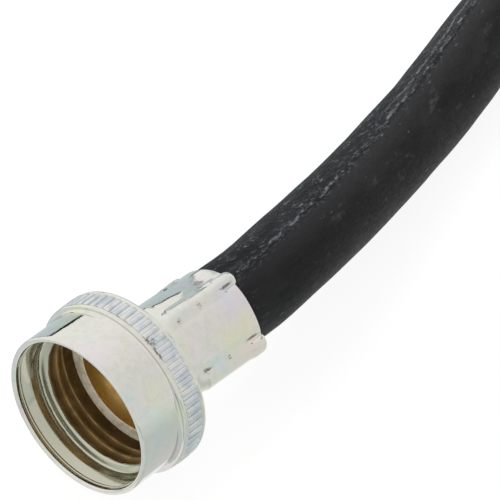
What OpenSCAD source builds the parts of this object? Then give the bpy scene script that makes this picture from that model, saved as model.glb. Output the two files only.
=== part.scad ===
// Soaker hose with a zinc-plated swivel inlet coupling, its free run wound into a
// coil, and a capped male coupling on the far end.
// Origin: on the floor below the middle of the inlet coupling. +Z is up, the inlet
// coupling's axis runs along +Y, and its open mouth faces -Y.

/* [Hose] */
// Outside diameter of the hose
hose_od = 15.9; // [15:0.1:16.2]
// Clear space between neighbouring turns of the coil
coil_gap = 0.6; // [0.5:0.1:1.2]
// Radius of the coil's innermost centreline
coil_inner_r = 64.5; // [64:0.5:70]
// Turns in each layer of the coil
layer_turns = 2.5; // [2:0.5:3]

/* [Hose thread] */
// Major diameter of the nut's internal thread
thread_d = 27.2; // [27:0.1:27.6]
// Length of the nut's threaded wall
thread_l = 9.3; // [8:0.1:9.6]
// Depth of the relief groove behind the nut's thread
relief = 0.3; // [0.2:0.05:0.5]
// Radial clearance between an internal thread and the external thread in it
thread_fit = 0.25; // [0.2:0.05:0.5]
// Length of the outlet's external thread
male_l = 9.5; // [8:0.5:12]

/* [Swivel nut] */
// Wall of the smooth skirt over the thread
skirt_t = 1.4; // [1.2:0.1:1.9]
// Height of the knurled band over the skirt
band_h = 1.1; // [0.9:0.1:2]
// Distance from the mouth to the foot of the band
skirt_l = 8.2; // [7:0.1:9]
// Width of the smooth bead in front of the knurl
bead_l = 0.8; // [0.6:0.05:1.2]
// Width of the knurled ring
knurl_l = 3.6; // [3:0.1:4.2]
// Number of ridges round the knurled ring
knurl_count = 60; // [40:1:72]
// Depth of the grooves between the ridges
knurl_depth = 0.35; // [0.2:0.05:0.4]
// Width of the smooth rim behind the knurl, with its rounded edge
rim_l = 0.85; // [0.7:0.05:1.2]
// Thickness of the rolled lip at the mouth
lip_t = 0.7; // [0.5:0.05:0.9]
// Length of the smooth lead-in between the lip and the thread
lead_in = 1.2; // [1:0.1:1.5]
// Thickness of the nut's domed back
nut_back_t = 0.9; // [0.7:0.05:1.2]

/* [Inlet stem] */
// Depth of the stem's sealing face behind the mouth
seat_depth = 12.6; // [12:0.1:13.4]
// Radial space round the flange, inside the thread
flange_gap = 0.7; // [0.4:0.05:1]
// Width of the flat sealing ring
seat_w = 2.4; // [2:0.1:3]
// Thickness of the flange
flange_t = 0.8; // [0.6:0.05:1]
// Depth of the dished entry behind the sealing ring
dish_l = 3.6; // [3:0.1:4.5]
// Outside diameter of the neck on which the nut turns
neck_d = 16.4; // [16:0.1:16.8]
// Wall of the stem
stem_t = 0.75; // [0.6:0.05:0.9]
// Outside diameter of the spigot inside the hose
spigot_d = 11; // [10.6:0.1:11.4]
// Distance from the spigot's end to the ferrule's end
spigot_back = 1.2; // [0.6:0.1:2]

/* [Ferrules] */
// Wall of the ferrule
ferrule_t = 0.7; // [0.5:0.05:0.8]
// Length of the smooth collar next to the nut
collar_l = 3.2; // [2.5:0.1:5]
// Length of the crimped part over the hose
crimp_l = 13.7; // [11:0.1:16]
// Number of raised ribs round the ferrule
rib_count = 4; // [3:1:6]
// Width of a rib
rib_w = 2.8; // [2.2:0.1:3.4]
// Height of a rib
rib_h = 1; // [0.6:0.05:1.2]
// Length of a rib's domed tip past the end of the ferrule
rib_tip_l = 1; // [0.5:0.1:1.4]
// Distance from the collar's end to the start of a rib
rib_start = 0.4; // [0.3:0.1:2]

/* [Outlet and cap] */
// Height of the gripping collar over the male thread's crest
grip_h = 1.15; // [0.8:0.05:2]
// Width of the gripping collar
grip_l = 4.5; // [3.5:0.1:7]
// Number of ridges round the gripping collar
grip_count = 48; // [24:1:60]
// Height of the gripping collar's ridges
grip_ridge = 0.4; // [0.3:0.05:0.5]
// Width of the plain edge on each side of the ridges
grip_edge = 0.4; // [0.3:0.1:0.8]
// Wall of the male coupling, from its bore to its thread's crest
male_t = 2.85; // [2:0.05:4]
// Length of the step from the fitting's neck to its bore
bore_step = 1.4; // [1:0.1:2]
// Chamfer at the end of the male thread
male_chamfer = 0.6; // [0.4:0.1:1]
// Wall of the end cap over its ribs
cap_t = 2.5; // [2.2:0.1:3.5]
// Thickness of the cap's closed end
cap_end_t = 2; // [1.6:0.1:3]
// Number of grip ribs round the cap
cap_rib_count = 24; // [12:1:30]
// Height of the cap's grip ribs
cap_rib = 0.6; // [0.4:0.05:0.7]
// Width of the plain band at the cap's mouth
cap_band = 1.5; // [1:0.1:2]
// Rounding of the cap's closed end
cap_round = 1.5; // [0.8:0.1:1.8]
// Thickness of the cap's washer
washer_t = 2.6; // [2:0.1:3.2]
// Bore of the cap's washer
washer_bore = 15; // [10:0.5:19]

/* [Clearances] */
// Radial clearance of the nut on its neck
turn_gap = 0.08; // [0.05:0.01:0.1]
// End play of the nut on each side of its back
end_gap = 0.2; // [0.15:0.05:0.3]
// Space between pieces that are pressed or crimped together
seat_gap = 0.02; // [0.01:0.01:0.03]
// Radial clearance between the cap and the male thread's crest
thread_gap = 0.15; // [0.1:0.05:0.25]
// Space between the cap's mouth and the gripping collar
cap_gap = 0.4; // [0.3:0.1:1]

/* [Hidden] */
$fn = 96;

plated = "#cfcdc4";
yellow_plated = "#b08f4e";
black_rubber = "#26272b";
black_plastic = "#1d1e20";

// How far one solid reaches into the next where two are joined
bite = 0.05;
// Length by which a hole's cutter passes the solid at each end
past = 1;
// Share of the step up to the band that its bead takes, the rest being its fillet
bead_share = 0.4;
// Share of the collar over which the stem narrows to its spigot
taper_share = 0.6;
// Rounding of the collar's end and of the sealing ring's inner edge
edge_r = 0.3;

// ---- inlet coupling, measured along its axis from the mouth ----
thread_r = thread_d / 2;
skirt_r = thread_r + skirt_t;
band_r = skirt_r + band_h;
flange_r = thread_r - flange_gap;
seat_r = flange_r - seat_w;
neck_r = neck_d / 2;
spigot_r = spigot_d / 2;
bead_r = (band_r - skirt_r) * bead_share;
fillet_r = band_r - skirt_r - bead_r;
bead_end = skirt_l + fillet_r + bead_l;
knurl_end = bead_end + knurl_l;
rim_end = knurl_end + rim_l;
rim_round = rim_l * 0.7;
thread_s = lip_t + lead_in;
seat_back = seat_depth + flange_t;
shoulder_s = seat_back + end_gap;
dish_end = seat_back + dish_l;
back_s = shoulder_s + nut_back_t;
nut_back_s = dish_end + end_gap + nut_back_t;
ferrule_s = nut_back_s + end_gap;
crimp_s = ferrule_s + collar_l;
ferrule_end = crimp_s + crimp_l;
inlet_l = ferrule_end + rib_tip_l;
axis_z = band_r;

// ---- ferrule and crimped hose ----
ferrule_in_r = neck_r + seat_gap;
ferrule_r = ferrule_in_r + ferrule_t;
crimped_r = ferrule_in_r - seat_gap;
hose_r = hose_od / 2;
taper_l = collar_l * taper_share;
stem_end = ferrule_end - spigot_back;
// Angle of the first rib, from +X towards -Z on the inlet
rib_turn = -79;

// ---- outlet coupling, measured along its axis from the hose's end of the ferrule ----
out_collar_s = crimp_l;
out_ferrule_l = crimp_l + collar_l;
grip_s = out_ferrule_l + seat_gap;
grip_end = grip_s + grip_l;
male_end = grip_end + male_l;
male_r = thread_r - thread_fit;
grip_r = male_r + grip_h;
cap_in_r = male_r + thread_gap;
cap_r = cap_in_r + cap_t;
cap_mouth_s = grip_end + cap_gap;
washer_s = male_end + seat_gap;
cap_floor_s = washer_s + washer_t + seat_gap;
cap_end_s = cap_floor_s + cap_end_t;

// ---- coil ----
coil_pitch = hose_od + coil_gap;
coil_outer_r = coil_inner_r + coil_pitch * layer_turns;
coil_layers = 5;
coil_steps = 24;
coil_sides = 6;
run_sides = 12;
coil_centre = [134, 102];
coil_start_angle = 90;
// Turns that lie on top of the last layer, before the tail
top_turns = 0.75;
coil_turns = coil_layers * layer_turns + top_turns;
end_run = hose_od;
coil_end_angle = coil_start_angle - 360 * coil_turns;

// The lead: from the inlet ferrule down to the floor and round to the coil
lead_points = [
    [0, 26, 16], [-1.5, 36, 15.1], [-3.5, 46, 13.7], [-6, 57, 11.9], [-9, 69, 10],
    [-12, 81, 8.7], [-15, 94, 8], [-18, 106, 8], [-21, 117, 8], [-23.5, 128, 8],
    [-25.5, 142, 8], [-23.5, 159, 8], [-17, 175, 8], [-6.5, 188.5, 8], [7, 199, 8],
    [23, 205.5, 8], [40, 207.7, 8], [64, 207.7, 8], [90, 207.7, 8]];
// The tail: on top of the coil, from its end to the outlet ferrule
tail_points = [
    [203, 66, 90.5], [186, 42, 90.5], [162, 25, 90.5], [133, 17, 90.5],
    [104, 20, 90.7], [77, 32, 91.4], [56, 53, 93.5], [44.7, 76, 96.8]];
outlet_pos = [40.5, 102, 98.2];

function sum_to(v, i) = i < 0 ? 0 : v[i] + sum_to(v, i - 1);

// Points on an arc round c, from angle a0 to angle a1, in n steps
function arc(c, r, a0, a1, n = 6) =
    [for (i = [0:n]) let (a = a0 + (a1 - a0) * i / n) c + r * [cos(a), sin(a)]];
// Points on a quarter of an ellipse round c, from its axial end to its radial end
dish_steps = 8;
function dish(c, rx, ry) =
    [for (i = [0:dish_steps]) let (a = 90 - 90 * i / dish_steps)
        c + [rx * cos(a), ry * sin(a)]];
function backwards(v) = [for (i = [len(v) - 1:-1:0]) v[i]];

// ---- placing ----
module on_inlet() translate([0, -inlet_l / 2, axis_z]) rotate([-90, 0, 0]) children();
module on_outlet() translate(outlet_pos) rotate([-90, 0, 0]) children();

// A body turned from a radius-and-length outline
module turned(outline) rotate_extrude() polygon(outline);

// A hole of this radius along the axis, through anything up to the length given
module bored(r, length) difference() {
    children();
    translate([0, 0, -past]) cylinder(r = r, h = length + 2 * past);
}

// A ring of straight ridges: a flat root, a slope up and a flat crest, in shares of a step
module ridged(root_r, crest_r, count, length) {
    step = 360 / count;
    ridge = [[0, root_r], [0.15, root_r], [0.35, crest_r], [0.8, crest_r]];
    outline = [for (i = [0:count - 1], k = ridge)
        k[1] * [cos((i + k[0]) * step), sin((i + k[0]) * step)]];
    linear_extrude(height = length) polygon(outline);
}

// ---- inlet coupling ----
module swivel_nut() color(plated) on_inlet() {
    hole_r = neck_r + turn_gap;
    core_r = band_r - knurl_depth - bite;
    relief_r = thread_r + relief;
    dish_w = seat_r + stem_t + end_gap - neck_r;
    dome_w = dish_w + nut_back_t;
    outline = concat(
        arc([skirt_r - lip_t / 2, lip_t / 2], lip_t / 2, -180, 0),
        arc([skirt_r + fillet_r, skirt_l], fillet_r, 180, 90),
        arc([band_r - bead_r, skirt_l + fillet_r + bead_r], bead_r, -75, 0, 5),
        [[band_r, bead_end], [core_r, bead_end], [core_r, knurl_end], [band_r, knurl_end]],
        arc([band_r - rim_round, rim_end - rim_round], rim_round, 0, 60),
        backwards(dish([hole_r, back_s], dome_w, nut_back_s - back_s)),
        dish([hole_r, shoulder_s], dish_w, dish_l + end_gap),
        [[relief_r, shoulder_s], [relief_r, thread_s + thread_l + relief],
         [thread_r, thread_s + thread_l], [thread_r, thread_s],
         [skirt_r - lip_t, lip_t + edge_r]]);
    turned(outline);
    translate([0, 0, bead_end - bite])
        bored(core_r - knurl_depth, knurl_l)
            ridged(band_r - knurl_depth, band_r - bite, knurl_count, knurl_l + 2 * bite);
}

module inlet_stem() color(yellow_plated) on_inlet() {
    bore_r = neck_r - stem_t;
    spigot_bore_r = spigot_r - stem_t;
    outer = dish([neck_r, seat_back], seat_r + stem_t - neck_r, dish_l - stem_t);
    inner = dish([bore_r, seat_depth + edge_r], seat_r - bore_r, dish_l - edge_r);
    turned(concat(
        [[seat_r, seat_depth], [flange_r, seat_depth], [flange_r, seat_back]],
        backwards(outer),
        [[neck_r, crimp_s - taper_l], [spigot_r, crimp_s], [spigot_r, stem_end],
         [spigot_bore_r, stem_end], [spigot_bore_r, crimp_s],
         [bore_r, crimp_s - taper_l - edge_r]],
        inner));
}

// A crimped ferrule from its collar end at 0 to its hose end at the full length
module ferrule() {
    length = collar_l + crimp_l;
    core_r = ferrule_in_r - ferrule_t;
    bored(ferrule_in_r, length + rib_tip_l) {
        turned(concat(
            [[core_r, 0]],
            arc([ferrule_r - edge_r, edge_r], edge_r, -90, 0),
            [[ferrule_r, length], [core_r, length]]));
        for (i = [0:rib_count - 1])
            rotate([0, 0, rib_turn + 360 * i / rib_count]) rib(length);
    }
}

// One rounded rib with domed ends, standing on the ferrule
module rib(length) {
    half = rib_w / 2;
    long = length + rib_tip_l - rib_start;
    translate([ferrule_r + rib_h - half, 0, rib_start])
        turned(concat(arc([0, half], half, -90, 0), arc([0, long - half], half, 0, 90)));
}

// The hose inside a ferrule, squeezed between the ferrule and the stem
module crimped_hose() translate([0, 0, collar_l + seat_gap])
    bored(spigot_r + seat_gap, crimp_l) cylinder(r = crimped_r, h = crimp_l - seat_gap);

module inlet_ferrule() color(plated) on_inlet()
    translate([0, 0, ferrule_s]) ferrule();

module hose_inlet_end() color(black_rubber) on_inlet()
    translate([0, 0, ferrule_s]) crimped_hose();

// ---- hose ----
function unit(v) = v / norm(v);
function level(v) = unit([v[0], v[1], 0]);
// Direction of a path at point i, held to start and end at its two ends
function heading(p, i, start, end) =
    i == 0 ? start : i == len(p) - 1 ? end : unit(p[i + 1] - p[i - 1]);

// A tube along path p: one ring of points at each path point
module tube(p, r, sides, start, end) {
    n = len(p);
    rings = [for (i = [0:n - 1])
        let (t = level(heading(p, i, start, end)), side = [t[1], -t[0], 0])
        for (k = [0:sides - 1])
            let (a = 90 + 360 * k / sides) p[i] + r * (cos(a) * side + [0, 0, sin(a)])];
    walls = [for (i = [0:n - 2], k = [0:sides - 1])
        let (a = i * sides + k, b = i * sides + (k + 1) % sides)
        each [[a, b, b + sides], [a, b + sides, a + sides]]];
    first = [for (k = [1:sides - 2]) [0, k + 1, k]];
    z = (n - 1) * sides;
    last = [for (k = [1:sides - 2]) [z, z + k, z + k + 1]];
    polyhedron(points = rings, faces = concat(walls, first, last), convexity = 8);
}

// Radius of the winding after t turns: in and out again at one pitch a turn
function wind_r(t) =
    let (layer = min(floor(t / layer_turns), coil_layers), x = t - layer * layer_turns)
    layer % 2 == 0 ? coil_outer_r - coil_pitch * x : coil_inner_r + coil_pitch * x;
// Height of the winding after t turns: a layer up in the half turn at each reversal
function wind_z(t) = hose_r + coil_pitch * sum_to(
    [for (k = [1:coil_layers]) min(1, max(0, 2 * (t - k * layer_turns) + 0.5))],
    coil_layers - 1);
function wind_at(t) =
    let (a = coil_start_angle - 360 * t)
    [coil_centre[0] + wind_r(t) * cos(a), coil_centre[1] + wind_r(t) * sin(a), wind_z(t)];

coil_start_dir = [sin(coil_start_angle), -cos(coil_start_angle), 0];
coil_end_dir = [sin(coil_end_angle), -cos(coil_end_angle), 0];
coil_start = wind_at(0);
coil_end = wind_at(coil_turns);
wound = [for (i = [0:coil_turns * coil_steps]) wind_at(i / coil_steps)];
coil_path = concat([coil_start - end_run * coil_start_dir], wound,
                   [coil_end + end_run * coil_end_dir]);

// Least gap between the coil's turns, from each ring to those over half a turn on
coil_least = min([for (i = [0:len(wound) - 1], j = [i + coil_steps / 2:1:len(wound) - 1])
    norm(wound[i] - wound[j])]) - hose_od;
echo(coil_least_gap_mm = coil_least);

lead_path = concat([[0, inlet_l / 2 - rib_tip_l, axis_z]], lead_points, [coil_path[0]]);
tail_path = concat([coil_path[len(coil_path) - 1]], tail_points, [outlet_pos]);
// Length of a path along its points
function run(p) = sum_to([for (i = [1:len(p) - 1]) norm(p[i] - p[i - 1])], len(p) - 2);
hose_length = run(lead_path) + run(coil_path) + run(tail_path) + 2 * crimp_l;
echo(hose_length_mm = hose_length, lead = run(lead_path), coil = run(coil_path),
     tail = run(tail_path));

module hose_lead() color(black_rubber)
    tube(lead_path, hose_r, run_sides, [0, 1, 0], coil_start_dir);

module hose_coil() color(black_rubber)
    tube(coil_path, hose_r, coil_sides, coil_start_dir, coil_end_dir);

module hose_tail() color(black_rubber)
    tube(tail_path, hose_r, run_sides, coil_end_dir, [0, 1, 0]);

// ---- outlet coupling ----
module outlet_mirror() translate([0, 0, out_ferrule_l]) mirror([0, 0, 1]) children();

module hose_outlet_end() color(black_rubber) on_outlet() outlet_mirror() crimped_hose();

module outlet_ferrule() color(plated) on_outlet() outlet_mirror() ferrule();

module outlet_fitting() color(plated) on_outlet() {
    root_r = grip_r - grip_ridge;
    bore_r = male_r - male_t;
    neck_bore_r = neck_r - stem_t;
    spigot_bore_r = spigot_r - stem_t;
    neck_s = out_collar_s + taper_l;
    turned([
        [spigot_bore_r, spigot_back], [spigot_r, spigot_back], [spigot_r, out_collar_s],
        [neck_r, neck_s], [neck_r, grip_s], [root_r, grip_s],
        [root_r, grip_end], [male_r, grip_end], [male_r, male_end - male_chamfer],
        [male_r - male_chamfer, male_end], [bore_r, male_end],
        [bore_r, grip_s + bore_step], [neck_bore_r, grip_s], [neck_bore_r, neck_s],
        [spigot_bore_r, out_collar_s]]);
    translate([0, 0, grip_s + grip_edge])
        bored(root_r - grip_ridge, grip_l)
            ridged(root_r + bite, grip_r, grip_count, grip_l - 2 * grip_edge);
}

module cap_washer() color(black_rubber) on_outlet()
    translate([0, 0, washer_s])
        bored(washer_bore / 2, washer_t) cylinder(r = cap_in_r - seat_gap, h = washer_t);

module end_cap() color(black_plastic) on_outlet() {
    root_r = cap_r - cap_rib;
    band_s = cap_mouth_s + cap_band;
    round_s = cap_end_s - cap_round;
    turned(concat(
        [[cap_in_r, cap_mouth_s], [cap_r, cap_mouth_s], [cap_r, band_s], [root_r, band_s]],
        arc([root_r - cap_round, round_s], cap_round, 0, 90),
        [[0, cap_end_s], [0, cap_floor_s], [cap_in_r, cap_floor_s]]));
    translate([0, 0, band_s - edge_r])
        bored(root_r - cap_rib, cap_end_s)
            ridged(root_r + bite, cap_r - bite, cap_rib_count, round_s - band_s + edge_r);
}

swivel_nut();
inlet_stem();
inlet_ferrule();
hose_inlet_end();
hose_lead();
hose_coil();
hose_tail();
hose_outlet_end();
outlet_ferrule();
outlet_fitting();
cap_washer();
end_cap();
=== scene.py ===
# %% [markdown]
# # Soaker hose with a plated swivel coupling
# The part is a rubber hose with a stamped steel coupling crimped on each end. The tap's
# end carries a loose nut with an internal thread. The far end is closed by a screw cap.
# Every size below is a real one, in millimetres where a name ends in _MM.

# %% Load the frame
import math

import bmesh
import bpy
import numpy as np
from mathutils import Matrix, Vector


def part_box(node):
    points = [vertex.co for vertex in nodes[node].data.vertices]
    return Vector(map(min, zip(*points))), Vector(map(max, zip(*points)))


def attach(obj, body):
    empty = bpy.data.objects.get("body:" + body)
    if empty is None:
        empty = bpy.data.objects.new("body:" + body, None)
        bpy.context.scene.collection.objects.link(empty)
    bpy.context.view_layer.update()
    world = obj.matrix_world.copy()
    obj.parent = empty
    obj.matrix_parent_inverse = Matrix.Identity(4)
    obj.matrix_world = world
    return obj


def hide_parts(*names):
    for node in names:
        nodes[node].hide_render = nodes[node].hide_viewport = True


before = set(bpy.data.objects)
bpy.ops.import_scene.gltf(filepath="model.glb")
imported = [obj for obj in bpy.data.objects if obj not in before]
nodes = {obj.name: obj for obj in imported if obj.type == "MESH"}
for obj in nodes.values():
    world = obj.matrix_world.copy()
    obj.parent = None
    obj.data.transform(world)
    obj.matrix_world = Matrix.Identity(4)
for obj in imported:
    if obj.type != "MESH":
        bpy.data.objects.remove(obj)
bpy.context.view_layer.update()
MM = 0.001

# %% [markdown]
# ## Camera
# The coupling points down and to the left, towards a camera that looks down on it from
# the front right. A long lens keeps the mouth's circles close to true ellipses.

# %% Camera
CAMERA_AZIMUTH, CAMERA_ELEVATION, CAMERA_ROLL = (
    math.radians(a) for a in (40.89, 38.804, -0.329))
CAMERA_PLACE = Vector((0.31360, -0.33658, 0.40982))
FOCAL_LENGTH_MM, SENSOR_MM = 261.18, 36.0


def aim(azimuth, elevation, roll):
    """The rotation of a camera that stands at this azimuth and elevation."""
    back = Vector((math.sin(azimuth) * math.cos(elevation),
                   -math.cos(azimuth) * math.cos(elevation), math.sin(elevation)))
    right = Vector((math.cos(azimuth), math.sin(azimuth), 0))
    up = back.cross(right)
    turned_right = right * math.cos(roll) + up * math.sin(roll)
    turned_up = up * math.cos(roll) - right * math.sin(roll)
    return Matrix((turned_right, turned_up, back)).transposed()


camera = bpy.data.objects.new("camera", bpy.data.cameras.new("camera"))
camera.data.sensor_width = SENSOR_MM
camera.data.lens = FOCAL_LENGTH_MM
camera.data.clip_start, camera.data.clip_end = 0.01, 20
rotation = aim(CAMERA_AZIMUTH, CAMERA_ELEVATION, CAMERA_ROLL)
camera.matrix_world = Matrix.Translation(CAMERA_PLACE) @ rotation.to_4x4()
bpy.context.scene.collection.objects.link(camera)
bpy.context.scene.camera = camera
print("camera at", tuple(round(c, 4) for c in camera.location))

# %% [markdown]
# ## One way to add a node
# Materials and Geometry Nodes trees are both graphs of nodes. One small function adds a
# node and sets or links its inputs, so every graph reads as a list of what is mixed.

# %% Nodes and colours
def add(tree, kind, inputs=None, **settings):
    """Adds a node, sets its settings, then sets its inputs or links nodes to them."""
    node = tree.nodes.new(kind)
    for name, value in settings.items():
        setattr(node, name, value)
    for key, value in (inputs or {}).items():
        if isinstance(value, bpy.types.Node):
            value = value.outputs[0]
        if isinstance(value, bpy.types.NodeSocket):
            tree.links.new(value, node.inputs[key])
        else:
            node.inputs[key].default_value = value
    return node


def maths(tree, operation, *values):
    """One sum on up to three values."""
    return add(tree, "ShaderNodeMath", dict(enumerate(values)), operation=operation)


def new_object(name, data):
    """Puts a new object with this data in the scene."""
    made = bpy.data.objects.new(name, data)
    bpy.context.scene.collection.objects.link(made)
    return made


def linear(hex_colour):
    """An sRGB hex colour as linear red, green, blue and alpha."""
    parts = [int(hex_colour[i:i + 2], 16) / 255 for i in (1, 3, 5)]
    return [c / 12.92 if c <= 0.04045 else ((c + 0.055) / 1.055) ** 2.4
            for c in parts] + [1.0]


print("a middle grey is", round(linear("#808080")[0], 3), "in linear light")

# %% [markdown]
# ## The hose's route
# A soaker hose is 7.6 m of rubber tube, 15.9 mm thick. It leaves the ferrule straight,
# sinks to the floor and curves away. Out of view it is wound into a coil for storage, and
# its tail lies on top. It could be drawn by hand as a curve, but the winding is regular,
# so a formula gives it, and a smooth curve through a few points gives lead and tail.

# %% Sizes of the route
HOSE_OD_MM, COIL_GAP_MM = 15.9, 0.6
COIL_INNER_MM, COIL_CENTRE_MM = 64.5, (134, 102)
LAYERS, LAYER_TURNS, TOP_TURNS, STEPS_PER_TURN = 5, 2.5, 0.75, 24
COIL_TURNS = LAYERS * LAYER_TURNS + TOP_TURNS
PITCH_MM = HOSE_OD_MM + COIL_GAP_MM
COIL_OUTER_MM = COIL_INNER_MM + PITCH_MM * LAYER_TURNS
hose_r = HOSE_OD_MM / 2
nut_low, nut_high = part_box("swivel_nut")
AXIS_Z_MM = (nut_low.z + nut_high.z) / 2 / MM
MOUTH_Y_MM = nut_low.y / MM
FERRULE_END_MM = 17.1
LEAD_MM = [
    (0, 26, 16), (-1.5, 36, 15.1), (-3.5, 46, 13.7), (-6, 57, 11.9), (-9, 69, 10),
    (-12, 81, 8.7), (-15, 94, 8), (-18, 106, 8), (-21, 117, 8), (-23.5, 128, 8),
    (-25.5, 142, 8), (-23.5, 159, 8), (-17, 175, 8), (-6.5, 188.5, 8), (7, 199, 8),
    (23, 205.5, 8), (40, 207.7, 8), (64, 207.7, 8), (90, 207.7, 8)]
TAIL_MM = [
    (203, 66, 90.5), (186, 42, 90.5), (162, 25, 90.5), (133, 17, 90.5),
    (104, 20, 90.7), (77, 32, 91.4), (56, 53, 93.5), (44.7, 76, 96.8)]
OUTLET_MM = (40.5, 102, 98.2)
print("coil:", LAYERS, "layers,", 2 * (COIL_OUTER_MM + hose_r), "mm across outside")

# %% Winding
CLIMB_TURNS = 0.5  # the hose climbs onto the next layer over half a turn


def wind(turn):
    """The winding's place after so many turns: in and out again, a layer at a time."""
    layer = min(int(turn / LAYER_TURNS), LAYERS)
    done = turn - layer * LAYER_TURNS
    radius = (COIL_INNER_MM + PITCH_MM * done if layer % 2
              else COIL_OUTER_MM - PITCH_MM * done)
    climbed = sum(min(1, max(0, (turn - k * LAYER_TURNS) / CLIMB_TURNS + 0.5))
                  for k in range(1, LAYERS + 1))
    angle = math.radians(90 - 360 * turn)
    return (COIL_CENTRE_MM[0] + radius * math.cos(angle),
            COIL_CENTRE_MM[1] + radius * math.sin(angle), hose_r + PITCH_MM * climbed)


turns = [wind(i / STEPS_PER_TURN) for i in range(int(COIL_TURNS * STEPS_PER_TURN) + 1)]
print("winding:", len(turns), "points, the last at", round(turns[-1][2], 1), "mm high")

# %% Smooth route
ROUTE_STEP_MM = 3.5


def smooth(points, start, end, step):
    """A smooth curve through the points, as points no further apart than the step."""
    p = np.array(points, float)
    d = np.linalg.norm(np.diff(p, axis=0), axis=1)
    slope = np.diff(p, axis=0) / d[:, None]
    middle = ((slope[:-1] * d[1:, None] + slope[1:] * d[:-1, None])
              / (d[:-1] + d[1:])[:, None])
    tangent = np.vstack([start, middle, end])
    out = [p[:1]]
    for i, length in enumerate(d):
        t = np.linspace(0, 1, math.ceil(length / step) + 1)[1:, None]
        out.append((2 * t**3 - 3 * t**2 + 1) * p[i] + (3 * t**2 - 2 * t**3) * p[i + 1]
                   + (t**3 - 2 * t**2 + t) * length * tangent[i]
                   + (t**3 - t**2) * length * tangent[i + 1])
    return np.vstack(out)


coil_in = np.array(turns[0]) - (HOSE_OD_MM, 0, 0)
coil_out = np.array(turns[-1]) - (0, HOSE_OD_MM, 0)
route_mm = smooth([(0, FERRULE_END_MM, AXIS_Z_MM), *LEAD_MM, coil_in, *turns, coil_out,
                   *TAIL_MM, OUTLET_MM], (0, 1, 0), (0, 1, 0), ROUTE_STEP_MM)
hose_length = np.linalg.norm(np.diff(route_mm, axis=0), axis=1).sum() * MM
print("hose length:", round(hose_length, 3), "m in", len(route_mm), "points")

# %% [markdown]
# ## The hose
# The tube is extruded, so one round section follows the route. A curve with a round bevel
# would give that too. Geometry Nodes also keep each point's place on the section and its
# distance along the hose, so the rubber's marks follow every bend. The ferrule pinches
# the first few millimetres, and the wall is a little lumpy, as crumb rubber is.

# %% Trees with named sizes
def size_tree(name, sizes):
    """A Geometry Nodes tree with a named input for each size, and its input node."""
    tree = bpy.data.node_groups.new(name, "GeometryNodeTree")
    sockets = [(label, kind, "INPUT") for label, kind in sizes.items()]
    for label, kind, way in [("Geometry", "Geometry", "INPUT"), *sockets,
                             ("Geometry", "Geometry", "OUTPUT")]:
        tree.interface.new_socket(label, in_out=way, socket_type="NodeSocket" + kind)
    return tree, tree.nodes.new("NodeGroupInput").outputs


def finish_tree(tree, geometry, material):
    """Ends a tree in real geometry with its material."""
    real = add(tree, "GeometryNodeRealizeInstances", {"Geometry": geometry})
    coated = add(tree, "GeometryNodeSetMaterial", {"Geometry": real, "Material": material})
    add(tree, "NodeGroupOutput", {"Geometry": coated})


def grow(name, tree, source_mesh, values):
    """Runs a tree on a mesh with these sizes and returns the result as a plain mesh."""
    source = new_object(name + "_source", source_mesh)
    modifier = source.modifiers.new(name, "NODES")
    modifier.node_group = tree
    for item in tree.interface.items_tree:
        if item.in_out == "INPUT" and item.name in values:
            modifier[item.identifier] = values[item.name]
    depsgraph = bpy.context.evaluated_depsgraph_get()
    mesh = bpy.data.meshes.new_from_object(
        source.evaluated_get(depsgraph), preserve_all_data_layers=True,
        depsgraph=depsgraph)
    bpy.data.objects.remove(source)
    mesh.name = name
    return mesh


print("a tree's named sizes are its modifier's inputs")

# %% Swept tube
tree, sizes = size_tree("swept_hose", {
    "Radius": "Float", "Sides": "Int", "Pinch share": "Float", "Pinch length": "Float",
    "Lump height": "Float", "Lump size": "Float", "Material": "Material"})
curve = add(tree, "GeometryNodeMeshToCurve", {"Mesh": sizes["Geometry"]})
level = add(tree, "GeometryNodeSetCurveNormal", {"Curve": curve}, mode="Z_UP")
along = add(tree, "GeometryNodeSplineParameter").outputs["Length"]
marked = add(tree, "GeometryNodeStoreNamedAttribute",
             {"Geometry": level, "Name": "along", "Value": along}, data_type="FLOAT")
pinch = add(tree, "ShaderNodeMapRange",
            {"Value": along, "From Max": sizes["Pinch length"],
             "To Min": sizes["Pinch share"], "To Max": 1.0}, interpolation_type="SMOOTHSTEP")
sized = add(tree, "GeometryNodeSetCurveRadius", {"Curve": marked, "Radius": pinch})
ring = add(tree, "GeometryNodeCurvePrimitiveCircle",
           {"Resolution": sizes["Sides"], "Radius": sizes["Radius"]}, mode="RADIUS")
place = add(tree, "GeometryNodeInputPosition")
section = add(tree, "GeometryNodeStoreNamedAttribute",
              {"Geometry": ring, "Name": "section", "Value": place},
              data_type="FLOAT_VECTOR")
tube = add(tree, "GeometryNodeCurveToMesh",
           {"Curve": sized, "Profile Curve": section, "Fill Caps": True})
print("swept tube:", len(tree.nodes), "nodes")

# %% Lumps
on_section = add(tree, "GeometryNodeInputNamedAttribute", {"Name": "section"},
                 data_type="FLOAT_VECTOR")
on_length = add(tree, "GeometryNodeInputNamedAttribute", {"Name": "along"},
                data_type="FLOAT")
lengthwise = add(tree, "ShaderNodeCombineXYZ", {"Z": on_length})
straight = add(tree, "ShaderNodeVectorMath", {0: on_section, 1: lengthwise},
               operation="ADD")
in_lumps = add(tree, "ShaderNodeVectorMath", {0: straight, 1: sizes["Lump size"]},
               operation="DIVIDE")
lumps = add(tree, "ShaderNodeTexNoise", {"Vector": in_lumps, "Scale": 1.0, "Detail": 2.0},
            noise_dimensions="3D")
height = maths(tree, "MULTIPLY", maths(tree, "SUBTRACT", lumps, 0.5), sizes["Lump height"])
outward = add(tree, "GeometryNodeInputNormal")
push = add(tree, "ShaderNodeVectorMath", {0: outward, "Scale": height}, operation="SCALE")
lumpy = add(tree, "GeometryNodeSetPosition", {"Geometry": tube, "Offset": push})
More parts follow.
